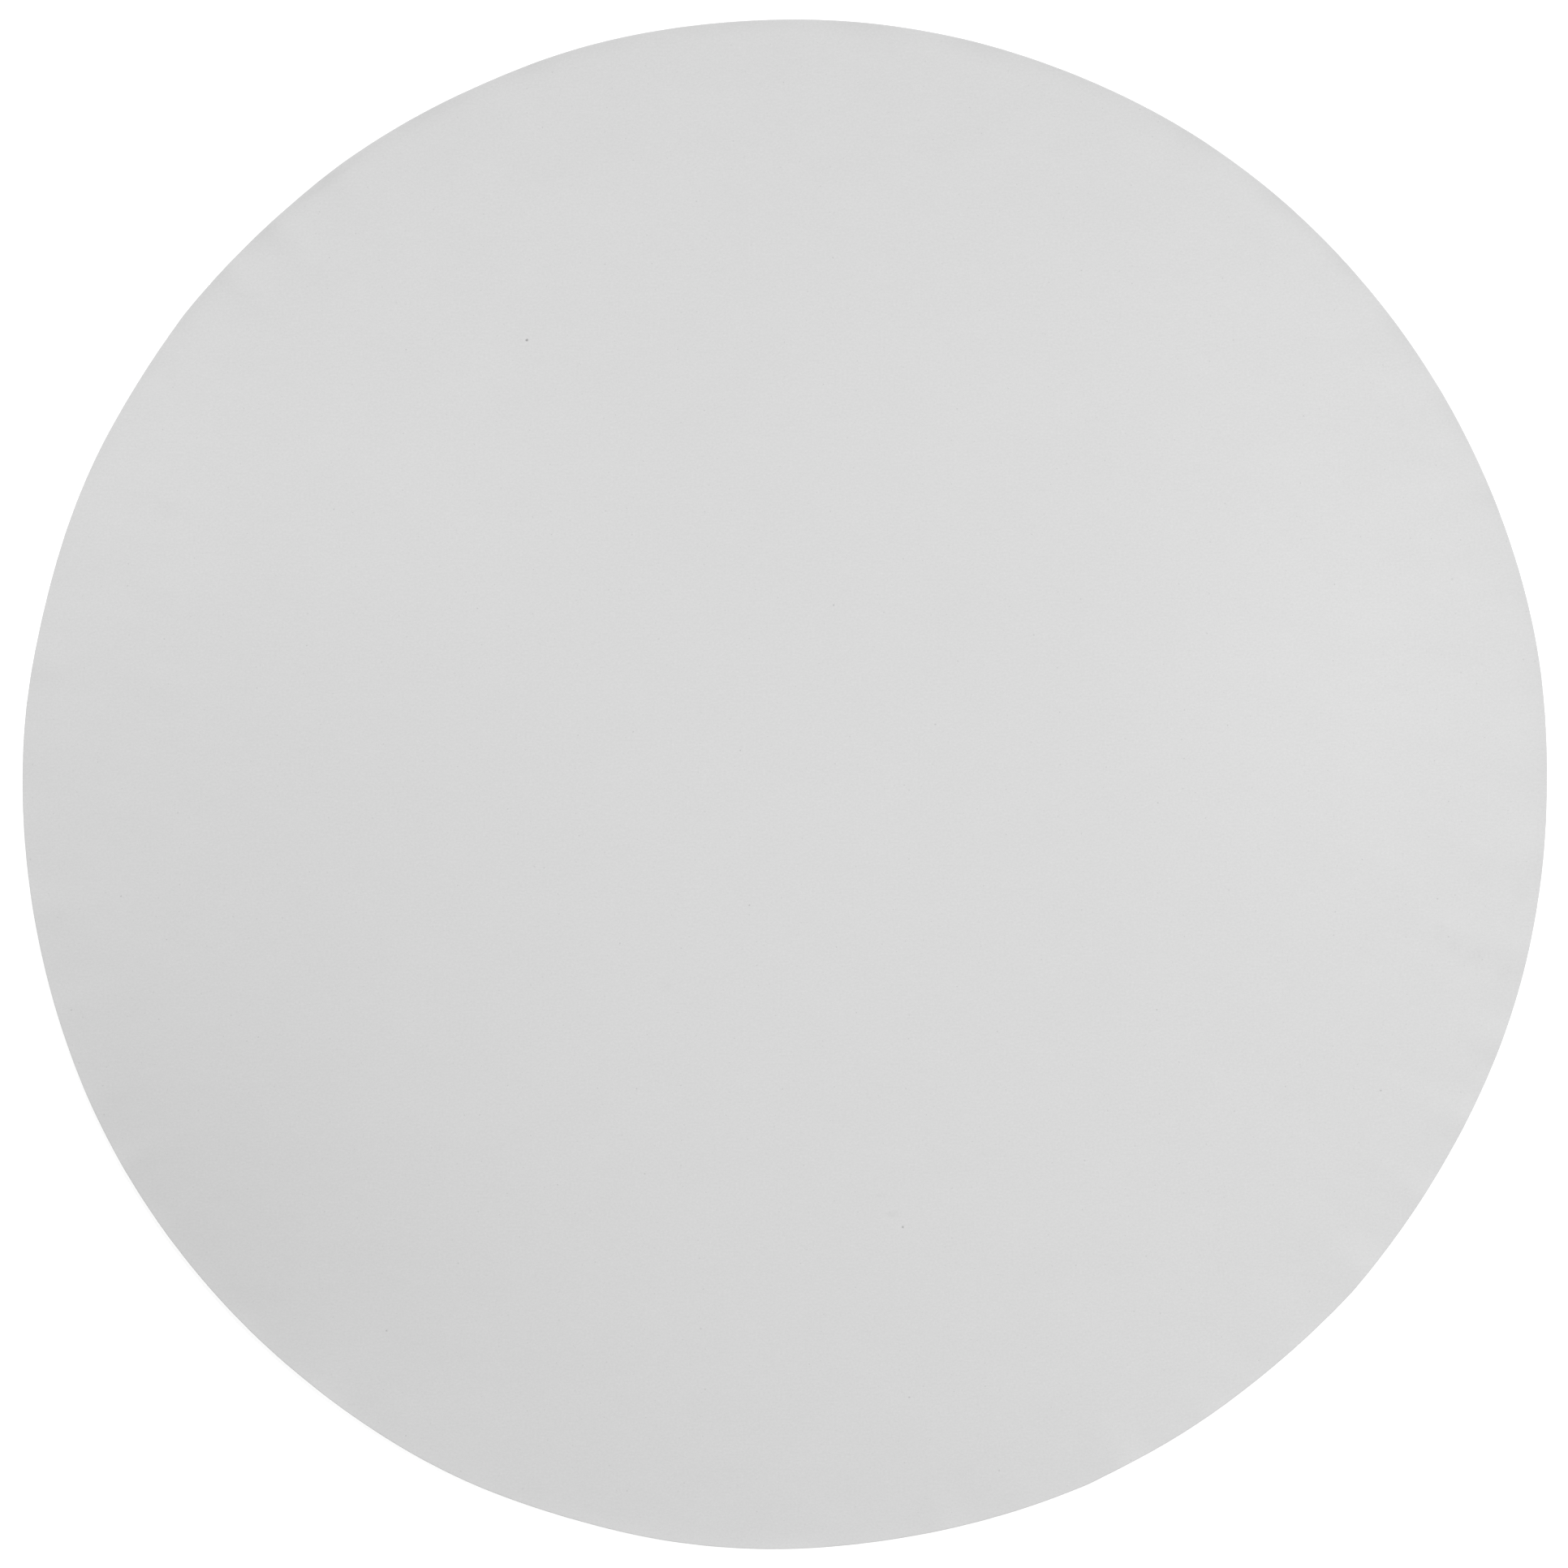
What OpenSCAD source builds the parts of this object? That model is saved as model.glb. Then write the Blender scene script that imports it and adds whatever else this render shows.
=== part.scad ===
// Circle template: a plain disc of pasted board, cut out by hand with shears and drawn round
// to mark a circle. The origin is the middle of the back face, +Z runs up through the board to
// the face that shows, and +X follows the grain of the paper.

/* [Disc] */
// Diameter of the circle that the disc was cut to, measured at the back face
disc_d = 304.8; // [150:0.1:450]
// How much of the hand's straying from that circle is kept: 0 gives a true circle
hand_stray = 1; // [0:0.1:2]

/* [Board] */
// Thickness of the ply that carries the face
face_ply_t = 0.2; // [0.1:0.01:1]
// Thickness of each of the two plies in the middle of the board
middle_ply_t = 0.2; // [0.1:0.01:1]
// Thickness of the ply that lies on the table
back_ply_t = 0.2; // [0.1:0.01:1]
// Lean of the cut edge, in degrees from square, as the shears leave it
cut_lean = 3; // [0:1:30]

/* [Smoothness] */
// Longest step between two points of the outline, in degrees
outline_step = 1.5; // [0.5:0.1:6]

/* [Hidden] */

disc_r = disc_d / 2;
full_turn = 360;

// Each ply lies on the one below it.
back_z = 0;
lower_middle_z = back_z + back_ply_t;
upper_middle_z = lower_middle_z + middle_ply_t;
face_z = upper_middle_z + middle_ply_t;

// The turning points of the cut, in order round the disc: the bearing in degrees from +X
// towards +Y, how far the edge stands outside the true circle in millimetres, and whether
// two bites of the shears meet there in a slight corner.
BEARING = 0;
STRAY = 1;
CORNER = 2;
cut_marks = [
    [12, 0.20, false],
    [22, 0.15, false],
    [43.5, 0.40, true],
    [58, 0.65, false],
    [70, 0.45, false],
    [89, 0.15, true],
    [96, 0, false],
    [104, 0.05, false],
    [115, -0.30, false],
    [124, -0.25, false],
    [132, -0.50, false],
    [142, -0.25, true],
    [148, -0.45, false],
    [156, -0.25, false],
    [167, -0.50, false],
    [176, -0.20, false],
    [185, -0.25, false],
    [204, 0.20, true],
    [215, 0.30, false],
    [227, 0.35, true],
    [230, 0.35, false],
    [244, 0.70, false],
    [254, 0.40, false],
    [262, 0.55, false],
    [274, 0.15, true],
    [283, -0.10, false],
    [293.5, 0, true],
    [298, -0.30, false],
    [310, -0.60, false],
    [318, -0.35, true],
    [329, -0.65, false],
    [345, -0.25, false],
    [358.5, -0.30, false]
];

// The first mark again, a full turn further round, which closes the outline.
last_mark = [cut_marks[0][BEARING] + full_turn, cut_marks[0][STRAY], cut_marks[0][CORNER]];

function mark_after(i) = i + 1 < len(cut_marks) ? cut_marks[i + 1] : last_mark;

// The share of the way from mark a's stray to mark b's at a share t of the way round: level at
// an ordinary mark, and steepest at a corner.
function eased(a, b, t) =
    a[CORNER] && b[CORNER] ? t
    : a[CORNER] ? 1 - pow(1 - t, 2)
    : b[CORNER] ? pow(t, 2)
    : t * t * (3 - 2 * t);

function stray_at(a, b, t) =
    hand_stray * (a[STRAY] + (b[STRAY] - a[STRAY]) * eased(a, b, t));

// The leaning cut brings the edge in towards the centre with height above the back face.
function cut_inset(height) = height * tan(cut_lean);

function outline_point(a, b, t, inset) =
    let (
        bearing = a[BEARING] + (b[BEARING] - a[BEARING]) * t,
        r = disc_r + stray_at(a, b, t) - inset
    )
    [r * cos(bearing), r * sin(bearing)];

// The whole hand-cut outline, brought in by inset.
function cut_outline(inset) = [
    for (i = [0 : len(cut_marks) - 1])
    let (
        a = cut_marks[i],
        b = mark_after(i),
        steps = ceil((b[BEARING] - a[BEARING]) / outline_step)
    )
    for (k = [0 : steps - 1])
    outline_point(a, b, k / steps, inset)
];

// One sheet of paper from z up, cut square at the inset that the leaning cut has at its foot.
module ply(z, thickness) {
    translate([0, 0, z])
        linear_extrude(height = thickness)
            polygon(cut_outline(cut_inset(z - back_z)));
}

module face_ply() {
    color("gainsboro") ply(face_z, face_ply_t);
}

module upper_middle_ply() {
    color("lightgray") ply(upper_middle_z, middle_ply_t);
}

module lower_middle_ply() {
    color("lightgray") ply(lower_middle_z, middle_ply_t);
}

module back_ply() {
    color("gainsboro") ply(back_z, back_ply_t);
}

face_ply();
upper_middle_ply();
lower_middle_ply();
back_ply();
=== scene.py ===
import math

import bpy
import numpy as np
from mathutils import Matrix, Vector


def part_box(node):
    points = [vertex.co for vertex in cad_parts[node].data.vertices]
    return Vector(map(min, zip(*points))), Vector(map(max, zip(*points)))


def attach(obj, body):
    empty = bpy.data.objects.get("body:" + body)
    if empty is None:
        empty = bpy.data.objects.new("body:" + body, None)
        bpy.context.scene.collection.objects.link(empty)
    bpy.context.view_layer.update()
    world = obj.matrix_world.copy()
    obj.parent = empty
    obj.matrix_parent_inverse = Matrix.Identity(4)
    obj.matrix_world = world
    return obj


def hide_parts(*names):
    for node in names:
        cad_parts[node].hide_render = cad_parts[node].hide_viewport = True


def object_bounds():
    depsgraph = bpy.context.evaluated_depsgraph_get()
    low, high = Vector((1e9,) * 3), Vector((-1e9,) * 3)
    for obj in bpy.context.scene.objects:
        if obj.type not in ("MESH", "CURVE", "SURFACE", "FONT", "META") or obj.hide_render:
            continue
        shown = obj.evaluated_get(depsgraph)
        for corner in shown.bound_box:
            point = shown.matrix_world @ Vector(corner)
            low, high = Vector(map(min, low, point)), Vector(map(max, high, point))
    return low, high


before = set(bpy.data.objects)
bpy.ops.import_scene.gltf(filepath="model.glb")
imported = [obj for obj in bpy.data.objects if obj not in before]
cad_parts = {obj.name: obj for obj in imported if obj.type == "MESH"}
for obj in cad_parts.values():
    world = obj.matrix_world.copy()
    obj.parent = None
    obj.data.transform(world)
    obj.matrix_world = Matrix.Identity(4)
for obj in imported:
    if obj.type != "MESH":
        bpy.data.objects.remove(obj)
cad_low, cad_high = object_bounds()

# The circle template is a disc of pasted board, cut out by hand with shears. Each of its four
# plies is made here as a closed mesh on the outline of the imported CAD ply. One height field
# lifts all four: the rim curls up a little and is cockled, as on sheared board.
MM = 0.001
TURN = 2 * math.pi
PLIES = ["face_ply", "upper_middle_ply", "lower_middle_ply", "back_ply"]


# ---------------------------------------------------------------- the cut outline, from the CAD

def cad_outline(node):
    """The bearings and radii of a CAD ply's outline, in order round the disc."""
    corners = np.array([v.co[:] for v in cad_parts[node].data.vertices])
    radius = np.hypot(corners[:, 0], corners[:, 1])
    rim = radius > radius.max() / 2
    bearing = np.arctan2(corners[rim, 1], corners[rim, 0]) % TURN
    order = np.argsort(bearing)
    return bearing[order], radius[rim][order]


OUTLINES = {node: cad_outline(node) for node in PLIES}
DISC_R = OUTLINES["back_ply"][1].mean()


def rim_radius(node, bearing):
    return np.interp(bearing, *OUTLINES[node], period=TURN)


def cut_lean():
    """How far the cut edge draws in for each unit of height, as the CAD plies step in."""
    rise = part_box("face_ply")[0].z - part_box("back_ply")[0].z
    return (DISC_R - OUTLINES["face_ply"][1].mean()) / rise


LEAN = cut_lean()


# ---------------------------------------------------------------- the board's surface

def round_table(pairs, bearing):
    """A value that goes smoothly round the disc through (bearing in degrees, value) pairs."""
    degrees = np.degrees(bearing) % 360
    at, value = np.array([*pairs, (pairs[0][0] + 360, pairs[0][1])], float).T
    degrees = np.where(degrees < at[0], degrees + 360, degrees)
    last = np.clip(np.searchsorted(at, degrees, side="right") - 1, 0, len(pairs) - 1)
    share = (degrees - at[last]) / (at[last + 1] - at[last])
    eased = share * share * (3 - 2 * share)
    return value[last] + (value[last + 1] - value[last]) * eased


# Tables in brackets are (bearing in degrees, mm) round the disc, and wanders are (seed, waves per
# turn, swing). How high the rim curls up off the table:
CURL = [(20, 0.12), (75, 0.30), (120, 0.20), (165, 0.10), (215, 0.04), (270, 0.16), (320, 0.10)]
CURL_REACH = 38 * MM
# The lip that the lower blade pushes up along the cut, a bite at a time
LIP = [(0, 0.040), (30, 0.055), (45, 0.105), (60, 0.065), (90, 0.070), (120, 0.100), (135, 0.110),
       (150, 0.070), (180, 0.024), (210, 0.030), (225, 0.050), (245, 0.020), (270, 0.055),
       (285, 0.018), (315, 0.032), (345, 0.024)]
LIP_REACH = 3.2 * MM
BITES = (13, range(31, 56, 3), 0.5)
# The cockles of the cut, short crests that stand square to the rim
COCKLE = [(0, 0.13), (30, 0.12), (60, 0.11), (90, 0.06), (120, 0.11), (150, 0.10), (180, 0.10),
          (210, 0.17), (245, 0.14), (270, 0.15), (300, 0.16), (330, 0.20)]
COCKLES_ROUND = 50
COCKLE_FADE = 6.5 * MM
COCKLE_DRIFT = (5, range(3, 12), 2.2)
# The usual share of the table's height, and how it changes from cockle to cockle
COCKLE_USUAL, COCKLE_CHANGE = 0.7, (8, range(7, 24), 0.6)
# The ruffle of damp board that has dried, which runs mostly along the grain, in x
RUFFLE = [(0, 0.0080), (45, 0.0065), (90, 0.0045), (180, 0.0060), (270, 0.0050), (330, 0.0080)]
RUFFLE_FADE = 40 * MM
# The seed, the waves per turn, and how far in radians the waves usually turn from the grain
RUFFLE_SEED, RUFFLE_WAVES, RUFFLE_SPREAD = 12, range(28, 120, 4), 0.8
# The ruffle stands on its own deepest hollows, so that it hardly goes down into the table.
RUFFLE_DEPTH = 2.8


def wander(bearing, seed, waves, swing):
    """A smooth periodic wander, mostly within the swing, from many waves per turn."""
    rng = np.random.default_rng(seed)
    total = np.zeros_like(bearing)
    for count in waves:
        total += np.cos(count * bearing + rng.uniform(0, TURN)) * rng.uniform(0.6, 1)
    return swing * (total / math.sqrt(len(waves)))


def ruffle(x, y):
    """Irregular crests, of height about 1, from straight waves that run roughly across y."""
    rng = np.random.default_rng(RUFFLE_SEED)
    total = np.zeros_like(x)
    for count in RUFFLE_WAVES:
        lean = rng.normal(0, RUFFLE_SPREAD)
        along = (x * math.sin(lean) + y * math.cos(lean)) / DISC_R
        total += np.cos(count * along + rng.uniform(0, TURN))
    return total * math.sqrt(2 / len(RUFFLE_WAVES))


def lift(x, y):
    """How far the board stands off the table at each point."""
    bearing = np.arctan2(y, x)
    inside = np.clip(rim_radius("back_ply", bearing) - np.hypot(x, y), 0, None)
    curl = round_table(CURL, bearing) * np.clip(1 - inside / CURL_REACH, 0, 1) ** 2
    bitten = np.clip(1 + wander(bearing, *BITES), 0, None)
    lip = round_table(LIP, bearing) * bitten * np.clip(1 - inside / LIP_REACH, 0, 1) ** 2
    crest = (1 + np.sin(COCKLES_ROUND * bearing + wander(bearing, *COCKLE_DRIFT))) / 2
    strength = np.clip(COCKLE_USUAL + wander(bearing, *COCKLE_CHANGE), 0, None)
    cockle = round_table(COCKLE, bearing) * strength * crest**2 * np.exp(-inside / COCKLE_FADE)
    ruffled = round_table(RUFFLE, bearing) * np.exp(-((inside / RUFFLE_FADE) ** 2))
    ruffled = ruffled * (RUFFLE_DEPTH + ruffle(x, y))
    return MM * (curl + lip + cockle + ruffled)


# Broad, faint patches that make the paper lighter or darker: centre x and y in mm, reach across
# and up in mm, share
TONE_PATCHES = [
    (-150, 70, 75, 75, 0.056),
    (-135, -95, 70, 70, -0.074),
    (110, 25, 60, 80, 0.040),
    (70, -80, 70, 60, 0.010),
    (0, 0, 110, 110, 0.027),
    (-40, -150, 60, 40, -0.025),
    (40, -150, 50, 30, -0.016),
    (-70, 60, 60, 60, 0.028),
    (30, 75, 60, 45, 0.014),
    (-70, -105, 50, 40, -0.016),
    (100, 100, 50, 45, 0.012),
    (-55, 112, 65, 35, 0.011),
]
# A painted shade along the rim, standing in for the shade of its upturned lip and crease, as
# (bearing in degrees, share), and how far in
RIM_SHADE = [(0, -0.010), (25, 0.0), (105, 0.0), (120, -0.010), (135, -0.018), (150, -0.008),
       (170, 0.0), (345, 0.0)]
RIM_SHADE_REACH = 2.0 * MM


# The tone factor: 1, plus the painted shade along the rim and the broad lighter and darker patches
def tone_and_rim_shade(x, y, inside):
    total = 1 + round_table(RIM_SHADE, np.arctan2(y, x)) * np.exp(-inside / RIM_SHADE_REACH)
    for at_x, at_y, across, up, share in TONE_PATCHES:
        away = np.hypot((x / MM - at_x) / across, (y / MM - at_y) / up)
        total += share * np.exp(-2 * away**2)
    return total


# ---------------------------------------------------------------- ply meshes

ROUND = 720
# Rings of the two sides that show, as (mm in from the rim, points round the ring)
FINE_RINGS = [
    (0.02, ROUND), (0.06, ROUND), (0.14, ROUND), (0.3, ROUND), (0.6, ROUND), (1, ROUND),
    (1.5, ROUND), (2.1, ROUND), (2.8, ROUND), (3.6, ROUND), (4.6, ROUND), (6, ROUND), (7.5, ROUND),
    (9, ROUND), (10.5, ROUND), (12, ROUND), (14, ROUND), (16, ROUND), (18, ROUND), (20, ROUND),
    (22.5, ROUND), (25, ROUND), (28, ROUND), (31, ROUND), (34, ROUND // 2), (37, ROUND // 2),
    (41, ROUND // 2), (45, ROUND // 2), (50, ROUND // 2), (56, ROUND // 2), (64, ROUND // 4),
    (74, ROUND // 4), (86, ROUND // 4), (99, ROUND // 8), (112, ROUND // 8), (125, ROUND // 8),
    (136, ROUND // 16), (145, ROUND // 16),
]
# Rings of the pasted sides, which nothing shows
HIDDEN_RINGS = [
    (0.3, ROUND), (1, ROUND), (2.2, ROUND), (4.5, ROUND), (8, ROUND), (13.5, ROUND),
    (21, ROUND), (32, ROUND // 2), (47, ROUND // 2), (66, ROUND // 4), (101, ROUND // 8),
    (136, ROUND // 16),
]
# How the edge of a side is rounded, as (mm in from the rim, mm down from the flat)
ARRIS = [(0.0, 0.030), (0.02, 0.014), (0.06, 0.004), (0.14, 0.001)]
BACK_ARRIS = [(0.0, 0.018), (0.02, 0.010), (0.06, 0.003)]
SQUARE = [(0.0, 0.0)]
# How the cut shows on each ply's wall: shares of the way down, with mm that the wall stands out
WALL = [(0.0, -0.010), (0.18, 0.003), (0.5, 0.010), (0.82, 0.004), (1.0, -0.008)]
# How ragged the cut is: a wander in mm that runs through all plies, and each ply's own wander,
# whose seed goes up by one from ply to ply
SNAGS = (21, range(90, 180, 7), 0.007)
FRAY_SEED, FRAY = 30, (range(150, 330, 11), 0.006)
# Material numbers
SIDE, EDGE = 0, 1


def arris_drop(inside, arris):
    return np.interp(inside / MM, [a[0] for a in arris], [a[1] for a in arris], right=0.0) * MM


def ring_bearings(count):
    return np.arange(count) * TURN / count


class Ply:
    """Gathers one ply's points, faces, places on the bake's map and material numbers."""

    # Radii on the unit map: the side that shows fills most of it, the cut edge is a band round
    # that, and the pasted side goes small into a corner.
    MAP_SIDE, MAP_EDGE, MAP_SPARE, MAP_CORNER = 0.478, 0.494, 0.052, 0.058

    def __init__(self, node):
        self.node = node
        low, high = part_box(node)
        self.low_z, self.high_z = low.z, high.z
        self.points, self.faces, self.places, self.kinds = [], [], [], []

    def rim(self, bearing, z):
        """The leaning, slightly ragged cut at height z of the flat board."""
        down = (self.high_z - z) / (self.high_z - self.low_z)
        swell = np.interp(down, [w[0] for w in WALL], [w[1] for w in WALL]) * MM
        snags = wander(bearing, *SNAGS)
        frayed = wander(bearing, FRAY_SEED + PLIES.index(self.node), *FRAY)
        lean = LEAN * (z - self.low_z)
        return rim_radius(self.node, bearing) - lean + swell + (snags + frayed) * MM

    def ring(self, radius, bearing, z):
        x, y = radius * np.cos(bearing), radius * np.sin(bearing)
        first = len(self.points)
        self.points.extend(zip(x, y, z + lift(x, y)))
        return list(range(first, first + len(bearing)))

    def corner(self, ring, k, centre, radius):
        """Point k of a ring, and its place on the map."""
        turn = k * TURN / len(ring)
        place = (centre + radius * math.cos(turn), centre + radius * math.sin(turn))
        return ring[k % len(ring)], place

    def face(self, corners, kind, flip):
        if flip:
            corners = corners[::-1]
        self.faces.append([point for point, _ in corners])
        self.places.extend(place for _, place in corners)
        self.kinds.append(kind)

    def join(self, outer, inner, outer_map, inner_map, kind, centre, flip):
        """Faces between two rings, where the inner may have half as many points."""
        step = len(outer) // len(inner)
        for k in range(len(inner)):
            rim = [self.corner(outer, step * k + s, centre, outer_map) for s in range(step + 1)]
            near, far = [self.corner(inner, k + s, centre, inner_map) for s in (0, 1)]
            for first, second in zip(rim, rim[1:-1]):
                self.face([first, second, near], kind, flip)
            self.face([rim[-2], rim[-1], far, near], kind, flip)

    def side(self, edge_ring, z, rings, arris, up, shows):
        """One whole side of the ply, from its edge to its centre."""
        reach, centre = (self.MAP_SIDE, 0.5) if shows else (self.MAP_SPARE, self.MAP_CORNER)
        size = rim_radius(self.node, np.zeros(1))[0]
        outer, outer_map = edge_ring, reach
        for gap, count in rings:
            bearing = ring_bearings(count)
            radius = self.rim(bearing, z) - gap * MM
            drop = float(arris_drop(gap * MM, arris))
            inner = self.ring(radius, bearing, z - drop if up else z + drop)
            inner_map = reach * (1 - gap * MM / size)
            self.join(outer, inner, outer_map, inner_map, SIDE, centre, not up)
            outer, outer_map = inner, inner_map
        middle = self.ring(np.zeros(1), np.zeros(1), z)[0], (centre, centre)
        for k in range(len(outer)):
            edge = [self.corner(outer, k + s, centre, outer_map) for s in (0, 1)]
            self.face([*edge, middle], SIDE, not up)

    def wall(self, top_arris, bottom_arris, shown_up):
        """The cut edge. Returns its top and bottom rings."""
        bearing = ring_bearings(ROUND)
        top_z = self.high_z - top_arris[0][1] * MM
        bottom_z = self.low_z + bottom_arris[0][1] * MM
        rings = []
        for down, _ in WALL:
            z = top_z + (bottom_z - top_z) * down
            rings.append(self.ring(self.rim(bearing, z), bearing, z))
        radii = np.linspace(self.MAP_SIDE, self.MAP_EDGE, len(rings))
        if not shown_up:
            radii = radii[::-1]
        for above, below, r_above, r_below in zip(rings, rings[1:], radii, radii[1:]):
            self.join(below, above, r_below, r_above, EDGE, 0.5, False)
        return rings[0], rings[-1]

    def build(self, shown_up, rings, arris):
        """The whole piece. Its better side, up or down, has these rings and this arris."""
        better, pasted = (rings, arris), (HIDDEN_RINGS, SQUARE)
        (top_rings, top_arris), (bottom_rings, bottom_arris) = (
            (better, pasted) if shown_up else (pasted, better)
        )
        top, bottom = self.wall(top_arris, bottom_arris, shown_up)
        self.side(top, self.high_z, top_rings, top_arris, True, shown_up)
        self.side(bottom, self.low_z, bottom_rings, bottom_arris, False, not shown_up)
        return self.piece()

    def piece(self):
        mesh = bpy.data.meshes.new(self.node + "_sheet")
        mesh.from_pydata(self.points, [], self.faces)
        mesh.polygons.foreach_set("material_index", self.kinds)
        mesh.polygons.foreach_set("use_smooth", [True] * len(self.faces))
        layer = mesh.uv_layers.new(name="OFBake")
        layer.data.foreach_set("uv", np.array(self.places).ravel())
        points = np.array(self.points)
        x, y = points[:, 0], points[:, 1]
        inside = rim_radius(self.node, np.arctan2(y, x)) - np.hypot(x, y)
        # The tone factor holds the broad patches and the painted shade along the rim.
        for name, values in (("tone_and_rim_shade", tone_and_rim_shade(x, y, inside)), ("inside_mm", inside / MM)):
            mesh.attributes.new(name, "FLOAT", "POINT").data.foreach_set("value", values)
        mesh.update()
        piece = bpy.data.objects.new(self.node + "_sheet", mesh)
        bpy.context.scene.collection.objects.link(piece)
        return piece


# ---------------------------------------------------------------- materials

class Nodes:
    """Adds nodes to a new material. A value that is a socket is linked, and any other is set."""

    def __init__(self, name):
        self.material = bpy.data.materials.new(name)
        self.material.use_nodes = True
        self.tree = self.material.node_tree
        self.shader = self.tree.nodes["Principled BSDF"]

    def put(self, node, socket, value):
        if isinstance(value, bpy.types.NodeSocket):
            self.tree.links.new(value, node.inputs[socket])
        else:
            node.inputs[socket].default_value = value

    def add(self, kind, inputs=(), **settings):
        node = self.tree.nodes.new("ShaderNode" + kind)
        for key, value in settings.items():
            setattr(node, key, value)
        for socket, value in dict(inputs).items():
            self.put(node, socket, value)
        return node

    def math(self, operation, *values):
        return self.add("Math", enumerate(values), operation=operation).outputs[0]

    def vector(self, operation, *values):
        node = self.add("VectorMath", enumerate(values), operation=operation)
        return node.outputs["Value" if operation in ("LENGTH", "DISTANCE") else "Vector"]

    def spread(self, value, low, high, out_low=0.0, out_high=1.0, kind="SMOOTHSTEP"):
        inputs = {"Value": value, "From Min": low, "From Max": high,
                  "To Min": out_low, "To Max": out_high}
        return self.add("MapRange", inputs, interpolation_type=kind).outputs[0]

    def noise(self, vector, scale, detail=2.0, roughness=0.5, distortion=0.0):
        inputs = {"Vector": vector, "Scale": scale, "Detail": detail,
                  "Roughness": roughness, "Distortion": distortion}
        return self.add("TexNoise", inputs).outputs[0]

    def swing(self, value, amount):
        """1, give or take about this share, from a noise round one half."""
        centred = self.math("MULTIPLY_ADD", value, 2.0, -1.0)
        return self.math("MULTIPLY_ADD", centred, amount, 1.0)

    def product(self, values):
        total = values[0]
        for value in values[1:]:
            total = self.math("MULTIPLY", total, value)
        return total

    def attribute(self, name):
        return self.add("Attribute", attribute_name=name).outputs["Fac"]

    def tinted(self, colour, factor):
        """The colour times a factor."""
        joined = self.add("CombineXYZ", enumerate([factor] * 3)).outputs[0]
        return self.vector("MULTIPLY", joined, colour)

    def place(self, per_metre):
        """Where a point is on the piece, with each axis scaled from metres."""
        return self.vector("MULTIPLY", self.add("TexCoord").outputs["Object"], per_metre)

    def finish(self, colour, factors, roughness, relief, depth, gloss):
        """Sets the shader. The relief stands depth mm high, and gloss is the specular level."""
        self.put(self.shader, "Base Color", self.tinted(colour, self.product(factors)))
        self.put(self.shader, "Roughness", roughness)
        bump = self.add("Bump", {"Strength": 1.0, "Distance": depth * MM, "Height": relief})
        self.put(self.shader, "Normal", bump.outputs[0])
        self.put(self.shader, "Specular IOR Level", gloss)
        return self.material


IN_MM = (1000.0, 1000.0, 1000.0)
# The same, with every point brought down to height 0
FLAT_IN_MM = (1000.0, 1000.0, 0.0)


# Dirt that was pulped into the paper: x and y in mm, radius in mm, how much darker at its middle
SPECKS = [
    (-51.5, 88.5, 0.30, 0.50), (23.5, -88.5, 0.26, 0.34), (9.7, 35.6, 0.22, 0.24),
    (-7.1, -24.3, 0.20, 0.24), (-79.5, -109.2, 0.22, 0.26), (-29.6, -60.9, 0.20, 0.20),
    (-8.9, 6.6, 0.18, 0.20), (24.8, -122.5, 0.22, 0.24), (-132.5, -22.5, 0.20, 0.20),
    (130.2, -23.0, 0.20, 0.22), (-28.0, -77.9, 0.18, 0.20), (-142.4, -45.2, 0.20, 0.20),
]
# Faint marks of use, and one painted shade of a crease near the rim: x, y, reach across and up in
# mm, turn in degrees, how much darker
MARKS_AND_CREASE_SHADE = [
    (21.5, -85.9, 1.7, 0.55, 4, 0.045), (19.0, -82.3, 1.5, 0.50, -8, 0.025),
    (-123.4, 54.8, 2.4, 2.2, 0, 0.018), (-23.8, -40.5, 1.3, 1.2, 0, 0.018),
    (137.6, -34.4, 2.9, 1.3, 32, 0.017), (133.7, -32.3, 1.5, 2.0, 0, 0.014),
    (130.6, -29.2, 1.3, 2.0, 0, 0.014), (146.7, -21.8, 2.3, 2.6, 45, 0.021),
    (138.0, -18.6, 2.4, 1.8, 20, 0.014), (143.3, -38.4, 2.4, 1.6, 60, 0.013),
    # A painted shade of the crease that runs along the rim here
    (-90.0, 121.0, 11.0, 0.8, 36.6, 0.022),
]
# Random specks: mm from cell to cell, share of cells that hold one, radii in mm, how much darker
PEPPER = [
    (15.0, 0.75, (0.06, 0.26), (0.03, 0.20)), (5.0, 0.95, (0.09, 0.19), (0.04, 0.16)),
    (4.0, 0.95, (0.09, 0.16), (0.02, 0.09)),
]
# How ragged the specks and the marks are: waves per mm of the noise, and its reach in mm
CRUMBLE = (3.5, 0.34)
MARK_RAGGEDNESS = (0.45, 2.6)
# The soft mottle is a little stronger near the rim, and eases off between these mm in from it.
MOTTLE_EASES = (10.0, 90.0)


def pepper(nodes, place, cell, kept, radii, darkness):
    """How much one layer of random specks darkens the paper, with at most one to a cell."""
    cells = nodes.add("TexVoronoi", {"Vector": place, "Scale": 1 / cell, "Randomness": 1.0},
                      voronoi_dimensions="2D", feature="F1")
    random = nodes.add("SeparateColor", {0: cells.outputs["Color"]}).outputs
    smallest, largest = radii[0] / cell, radii[1] / cell
    size = nodes.spread(random[0], 1 - kept, 1.0, smallest, largest, "LINEAR")
    inside = nodes.spread(cells.outputs["Distance"], size, nodes.math("MULTIPLY", size, 0.35))
    dark = nodes.spread(random[1], 0.1, 1.0, *darkness, "LINEAR")
    present = nodes.math("GREATER_THAN", random[0], 1 - kept)
    return nodes.math("SUBTRACT", 1.0, nodes.product([inside, dark, present]))


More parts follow.
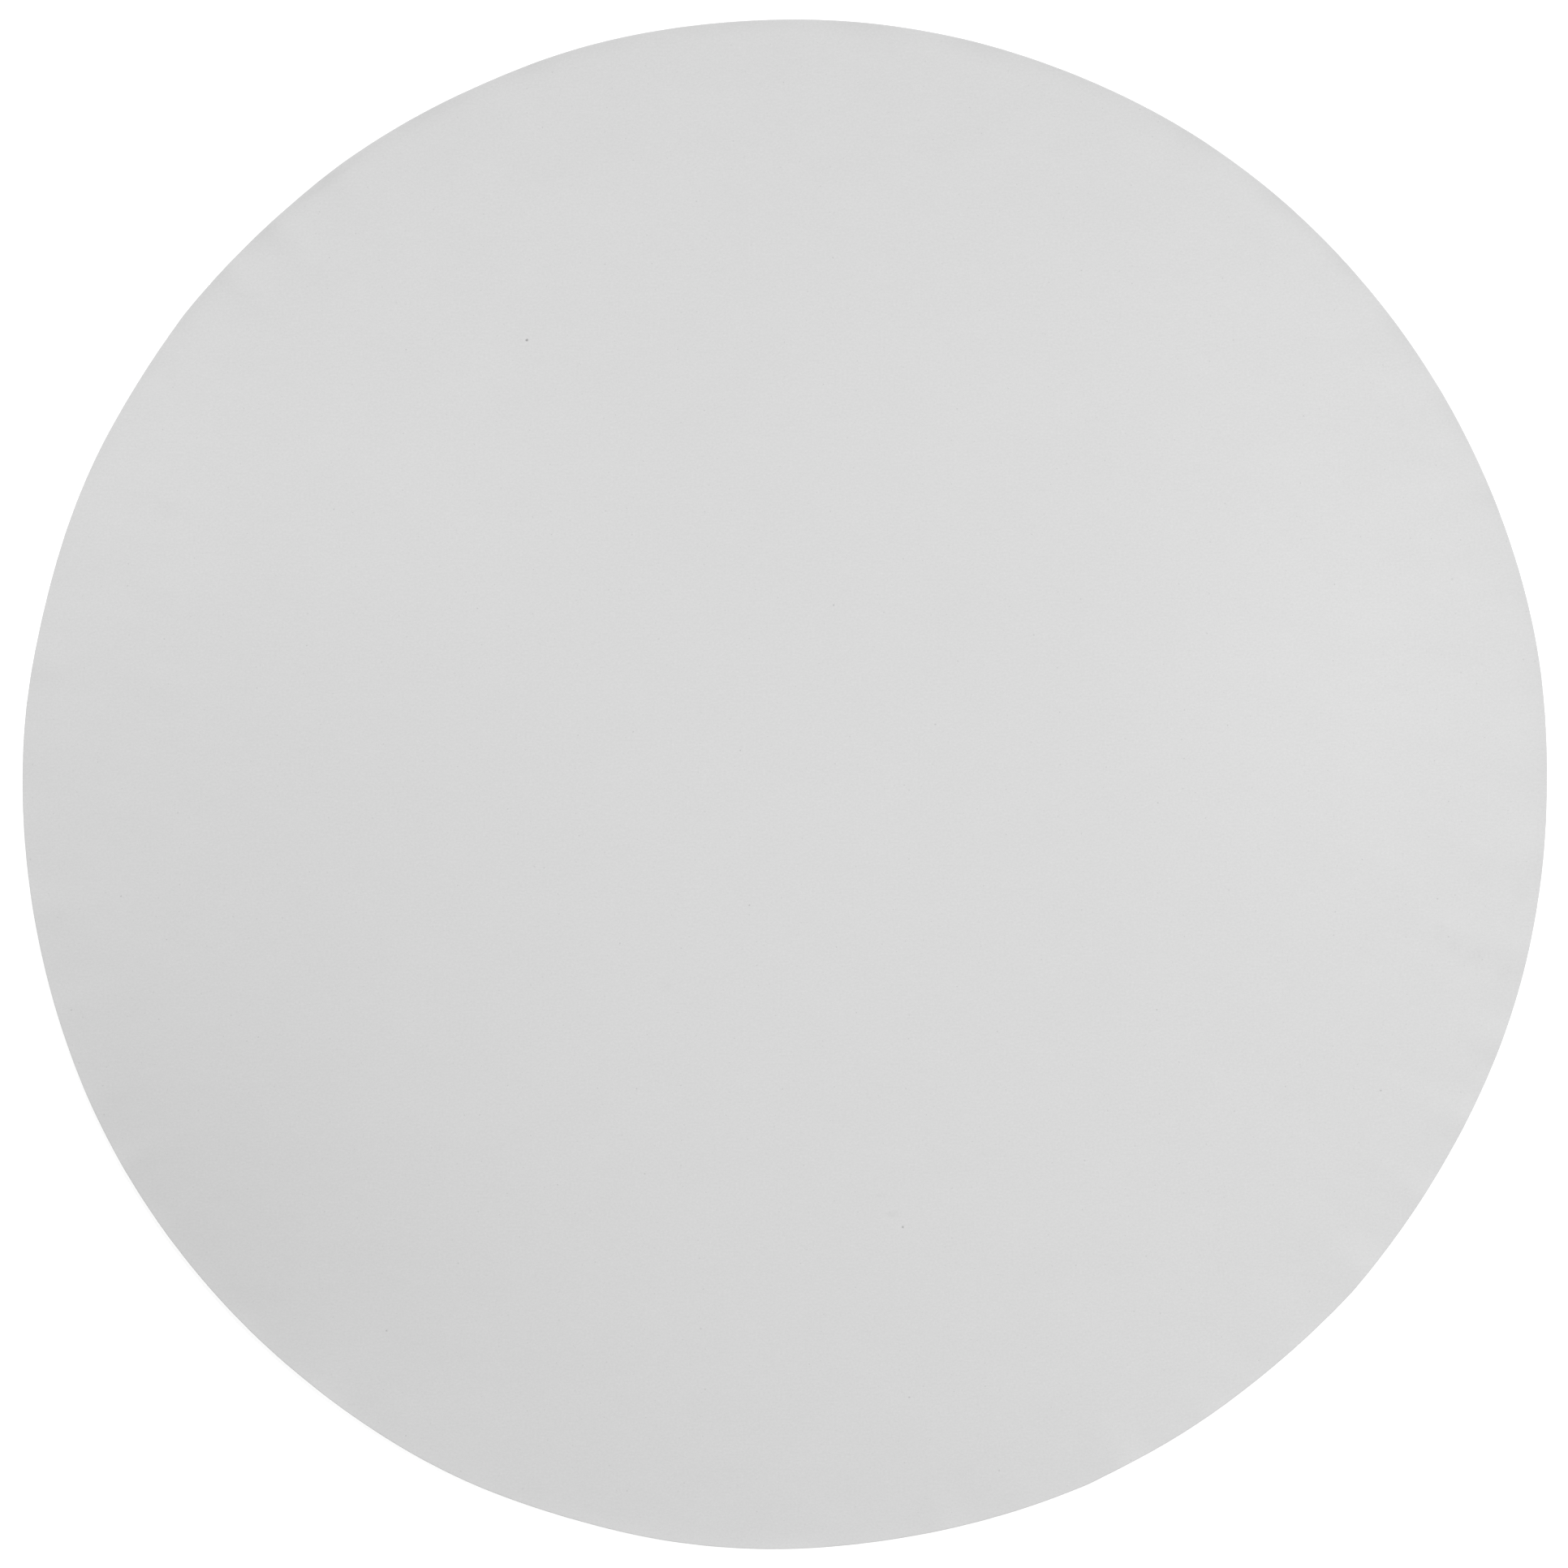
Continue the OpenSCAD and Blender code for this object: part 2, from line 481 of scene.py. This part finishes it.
def speckled(nodes, crumbled):
    """How much the paper's own dirt darkens it: many random specks and a few chosen ones."""
    factors = [pepper(nodes, crumbled, *layer) for layer in PEPPER]
    for x, y, radius, share in SPECKS:
        away = nodes.vector("DISTANCE", crumbled, (x, y, 0.0))
        factors.append(nodes.spread(away, 0.35 * radius, 1.25 * radius, 1 - share, 1.0))
    return nodes.product(factors)


def marks_and_crease_shade(nodes, ragged_place):
    """The faint rubs and finger marks that handling has left, and the painted shade of a crease
    near the rim.
    """
    factors = []
    for x, y, across, up, turn, share in MARKS_AND_CREASE_SHADE:
        moved = nodes.vector("SUBTRACT", ragged_place, (x, y, 0.0))
        turned = nodes.add("VectorRotate", {"Vector": moved, "Angle": -math.radians(turn)},
                           rotation_type="Z_AXIS").outputs[0]
        shrunk = nodes.vector("MULTIPLY", turned, (1 / across, 1 / up, 0.0))
        away = nodes.vector("LENGTH", shrunk)
        factors.append(nodes.spread(away, 0.2, 1.3, 1 - share, 1.0))
    return nodes.product(factors)


def jogged(nodes, place, scale, reach):
    """The place, moved about by a noise, so that round shapes on it come out ragged."""
    noise = nodes.add("TexNoise", {"Vector": place, "Scale": scale, "Detail": 1.0}).outputs[1]
    shift = nodes.vector("SUBTRACT", noise, (0.5, 0.5, 0.5))
    return nodes.vector("MULTIPLY_ADD", shift, (reach, reach * 0.7, 0.0), place)


def paper(name, colour, mottle=0.009, grain=0.027, dirt=True, with_marks_and_crease_shade=True, wire=0.0):
    """Uncoated paper. mottle, grain and wire are shares that the tone swings by."""
    nodes = Nodes(name)
    place = nodes.place(FLAT_IN_MM)
    inside = nodes.attribute("inside_mm")
    # Everything in the paper is drawn out along its grain, in x.
    clouds = nodes.vector("MULTIPLY", place, (0.72, 1.0, 1.0))
    cloudy = nodes.noise(clouds, scale=0.10, detail=3.0, roughness=0.55)
    clumped = nodes.noise(clouds, scale=0.55, detail=2.0, roughness=0.5)
    grains = nodes.vector("MULTIPLY", place, (0.85, 1.0, 1.0))
    fine = nodes.noise(grains, scale=2.4, detail=3.0, roughness=0.65)
    hairs = nodes.vector("MULTIPLY", place, (0.55, 2.9, 1.0))
    fibres = nodes.noise(hairs, scale=1.0, detail=2.0, roughness=0.6, distortion=1.4)
    factors = [
        nodes.swing(cloudy, nodes.spread(inside, *MOTTLE_EASES, mottle * 1.7, mottle * 1.2)),
        nodes.swing(clumped, nodes.spread(inside, *MOTTLE_EASES, mottle * 1.2, mottle * 0.8)),
        nodes.swing(fine, grain * 3.0),
        nodes.swing(fibres, grain * 0.9),
        # The broad lighter and darker patches, and the painted shade along the rim
        nodes.attribute("tone_and_rim_shade"),
    ]
    if dirt:
        factors.append(speckled(nodes, jogged(nodes, place, *CRUMBLE)))
    # Marks of use, and the painted shade of a crease near the rim
    if with_marks_and_crease_shade:
        factors.append(marks_and_crease_shade(nodes, jogged(nodes, place, *MARK_RAGGEDNESS)))
    if wire:
        twill = nodes.add("TexWave", {"Vector": place, "Scale": 0.75, "Distortion": 0.8,
                                      "Detail": 1.0, "Detail Scale": 0.4},
                          bands_direction="DIAGONAL")
        factors.append(nodes.swing(twill.outputs[1], wire))
    roughness = nodes.spread(fine, 0.25, 0.75, 0.80, 0.92, "LINEAR")
    felt = nodes.math("MULTIPLY_ADD", fibres, 0.6, fine)
    return nodes.finish(colour, factors, roughness, felt, depth=0.0035, gloss=0.25)


def cut_edge(name, colour):
    """The sheared edge of a ply: torn fibre in layers that run round the rim."""
    nodes = Nodes(name)
    place = nodes.place(IN_MM)
    flakes = nodes.vector("MULTIPLY", place, (0.7, 0.7, 16.0))
    layers = nodes.noise(flakes, scale=1.0, detail=3.0, roughness=0.6, distortion=0.4)
    clumps = nodes.vector("MULTIPLY", place, (2.6, 2.6, 7.0))
    tufts = nodes.noise(clumps, scale=1.0, detail=2.0, roughness=0.6)
    hairs = nodes.vector("MULTIPLY", place, (8.0, 8.0, 30.0))
    fibres = nodes.noise(hairs, scale=1.0, detail=2.0, roughness=0.7, distortion=1.0)
    factors = [nodes.swing(layers, 0.16), nodes.swing(tufts, 0.14), nodes.swing(fibres, 0.20)]
    roughness = nodes.spread(tufts, 0.25, 0.75, 0.88, 0.98, "LINEAR")
    torn = nodes.math("ADD", nodes.math("ADD", layers, tufts), fibres)
    return nodes.finish(colour, factors, roughness, torn, depth=0.03, gloss=0.2)


FACE_GREY = (0.692, 0.692, 0.692)
MIDDLE_GREY = (0.640, 0.635, 0.620)
BACK_GREY = (0.672, 0.671, 0.665)
EDGE_GREY = (0.540, 0.538, 0.530)
MIDDLE_EDGE_GREY = (0.470, 0.465, 0.450)

face_paper = paper("face_paper", FACE_GREY)
middle_paper = paper("middle_paper", MIDDLE_GREY, mottle=0.02, grain=0.02, dirt=False,
                     with_marks_and_crease_shade=False)
back_paper = paper("back_paper", BACK_GREY, mottle=0.012, grain=0.016, with_marks_and_crease_shade=False, wire=0.006)
outer_edge = cut_edge("outer_ply_edge", EDGE_GREY)
middle_edge = cut_edge("middle_ply_edge", MIDDLE_EDGE_GREY)


# ---------------------------------------------------------------- the four plies

def make_ply(node, shown_up, rings, arris, slot, side_material, edge_material):
    piece = Ply(node).build(shown_up, rings, arris)
    for material in (side_material, edge_material):
        piece.data.materials.append(material)
    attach(piece, "root")
    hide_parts(node)


MIDDLE_LOOK = (HIDDEN_RINGS, SQUARE, "middle_paper", middle_paper, middle_edge)
make_ply("face_ply", True, FINE_RINGS, ARRIS, "face_paper", face_paper, outer_edge)
make_ply("upper_middle_ply", True, *MIDDLE_LOOK)
make_ply("lower_middle_ply", False, *MIDDLE_LOOK)
make_ply("back_ply", False, FINE_RINGS, BACK_ARRIS, "back_paper", back_paper, outer_edge)


# ---------------------------------------------------------------- floor, light and camera

FLOOR_HALF = 20.0
# A hair under the part, so that the back ply and the floor don't share a plane
FLOOR_Z = cad_low.z - 0.1 * MM
FLOOR_GREY = (0.6, 0.6, 0.6)
# The floor glows enough to stay white where the disc shades it.
FLOOR_GLOW = 0.7


def floor_material():
    """A white floor that shows from above, and lets the disc be seen from below."""
    nodes = Nodes("floor_white")
    clouds = nodes.noise(nodes.add("TexCoord").outputs["Object"], scale=3.0)
    nodes.put(nodes.shader, "Base Color", nodes.tinted(FLOOR_GREY, nodes.swing(clouds, 0.005)))
    nodes.put(nodes.shader, "Roughness", 0.9)
    nodes.put(nodes.shader, "Specular IOR Level", 0.1)
    nodes.put(nodes.shader, "Emission Color", (1.0, 1.0, 1.0, 1.0))
    nodes.put(nodes.shader, "Emission Strength", FLOOR_GLOW)
    underside = nodes.add("NewGeometry").outputs["Backfacing"]
    clear = nodes.add("BsdfTransparent").outputs[0]
    one_way = nodes.add("MixShader", {0: underside, 1: nodes.shader.outputs[0], 2: clear})
    nodes.put(nodes.tree.nodes["Material Output"], "Surface", one_way.outputs[0])
    # The glow is so wide and even that rays find it without aiming at its two triangles.
    nodes.material.cycles.emission_sampling = "NONE"
    return nodes.material


def make_floor():
    corners = [(-1, -1), (1, -1), (1, 1), (-1, 1)]
    points = [(x * FLOOR_HALF, y * FLOOR_HALF, FLOOR_Z) for x, y in corners]
    mesh = bpy.data.meshes.new("floor")
    mesh.from_pydata(points, [], [range(len(points))])
    mesh.materials.append(floor_material())
    floor = bpy.data.objects.new("floor", mesh)
    bpy.context.scene.collection.objects.link(floor)


# Softboxes as (name, share of the light on a level sheet, bearing and elevation in degrees,
# distance, width). The rest of the light comes evenly from the whole room.
SOFTBOXES = [("softbox", 0.42, 88, 28, 5.0, 1.9), ("side_softbox", 0.15, -10, 40, 1.0, 0.4)]


def make_softbox(name, share, bearing, elevation, far, size):
    lamp = bpy.data.lights.new(name, "AREA")
    lamp.shape = "SQUARE"
    lamp.size = size
    elevation, bearing = math.radians(elevation), math.radians(bearing)
    # A square lamp of power P lights a level white sheet to P sin(elevation) / (pi r) ** 2.
    lamp.energy = share * (math.pi * far) ** 2 / math.sin(elevation)
    softbox = bpy.data.objects.new(name, lamp)
    softbox.location = (far * math.cos(elevation) * math.cos(bearing),
                        far * math.cos(elevation) * math.sin(bearing),
                        far * math.sin(elevation))
    softbox.rotation_mode = "QUATERNION"
    softbox.rotation_quaternion = softbox.location.to_track_quat("Z", "Y")
    softbox.visible_camera = False
    bpy.context.scene.collection.objects.link(softbox)


def make_lights():
    world = bpy.data.worlds.new("soft_room")
    world.use_nodes = True
    background = world.node_tree.nodes["Background"]
    background.inputs["Color"].default_value = (1.0, 1.0, 1.0, 1.0)
    background.inputs["Strength"].default_value = 1 - sum(box[1] for box in SOFTBOXES)
    bpy.context.scene.world = world
    for box in SOFTBOXES:
        make_softbox(*box)


# The picture is square and a little wider than the disc, which lies just off its middle.
FRAME_WIDE = 312.9 * MM
FRAME_MIDDLE = (-0.19 * MM, -0.10 * MM)
LENS, SENSOR = 150.0, 36.0


def make_camera():
    camera = bpy.data.cameras.new("camera")
    camera.lens = LENS
    camera.sensor_width = SENSOR
    holder = bpy.data.objects.new("camera", camera)
    holder.location = (*FRAME_MIDDLE, cad_high.z + FRAME_WIDE * LENS / SENSOR)
    bpy.context.scene.collection.objects.link(holder)
    bpy.context.scene.camera = holder


make_floor()
make_lights()
make_camera()
bpy.context.scene.view_settings.view_transform = "Standard"
